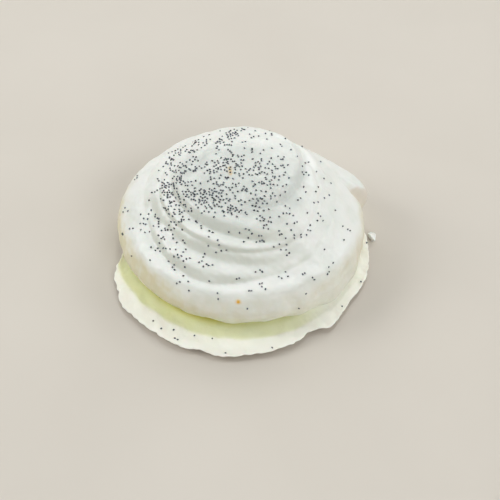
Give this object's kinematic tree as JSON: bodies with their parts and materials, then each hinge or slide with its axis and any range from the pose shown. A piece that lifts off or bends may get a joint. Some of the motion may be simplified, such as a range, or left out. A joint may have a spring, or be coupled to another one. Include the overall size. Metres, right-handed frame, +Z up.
{
  "type": "iced spiral bun",
  "caption": "Coiled sweet bun under thick white set icing that runs out into a thin skirt round its foot, with poppy seeds over the crown.",
  "frame": {"origin": "centre of the footprint, on the surface that the bun rests on", "axes": "+Z up through the crown, +X to the right of the bun, towards the loose end of its coil, +Y to its back; the icing skirt is widest in front, at -Y"},
  "size_m": [0.1356, 0.1404, 0.059],
  "materials": {
    "icing": "satin",
    "poppy_seed": "matte"
  },
  "bodies": {
    "root": {"iced_bun": "icing", "icing_crumb": "icing", "poppy_seed_01": "poppy_seed", "poppy_seed_02": "poppy_seed", "poppy_seed_03": "poppy_seed", "poppy_seed_04": "poppy_seed", "poppy_seed_05": "poppy_seed", "poppy_seed_06": "poppy_seed", "poppy_seed_07": "poppy_seed", "poppy_seed_08": "poppy_seed", "poppy_seed_09": "poppy_seed", "poppy_seed_10": "poppy_seed", "poppy_seed_11": "poppy_seed", "poppy_seed_12": "poppy_seed", "poppy_seed_13": "poppy_seed", "poppy_seed_14": "poppy_seed", "poppy_seed_15": "poppy_seed", "poppy_seed_16": "poppy_seed", "poppy_seed_17": "poppy_seed", "poppy_seed_18": "poppy_seed", "poppy_seed_19": "poppy_seed", "poppy_seed_20": "poppy_seed", "poppy_seed_21": "poppy_seed", "poppy_seed_22": "poppy_seed", "poppy_seed_23": "poppy_seed", "poppy_seed_24": "poppy_seed", "poppy_seed_25": "poppy_seed", "poppy_seed_26": "poppy_seed", "poppy_seed_27": "poppy_seed", "poppy_seed_28": "poppy_seed", "poppy_seed_29": "poppy_seed", "poppy_seed_30": "poppy_seed", "poppy_seed_31": "poppy_seed", "poppy_seed_32": "poppy_seed", "poppy_seed_33": "poppy_seed", "poppy_seed_34": "poppy_seed", "poppy_seed_35": "poppy_seed", "poppy_seed_36": "poppy_seed", "poppy_seed_37": "poppy_seed", "poppy_seed_38": "poppy_seed", "poppy_seed_39": "poppy_seed", "poppy_seed_40": "poppy_seed", "poppy_seed_41": "poppy_seed", "poppy_seed_42": "poppy_seed", "poppy_seed_43": "poppy_seed", "poppy_seed_44": "poppy_seed", "poppy_seed_45": "poppy_seed", "poppy_seed_46": "poppy_seed", "poppy_seed_47": "poppy_seed", "poppy_seed_48": "poppy_seed"}
  },
  "joints": []
}
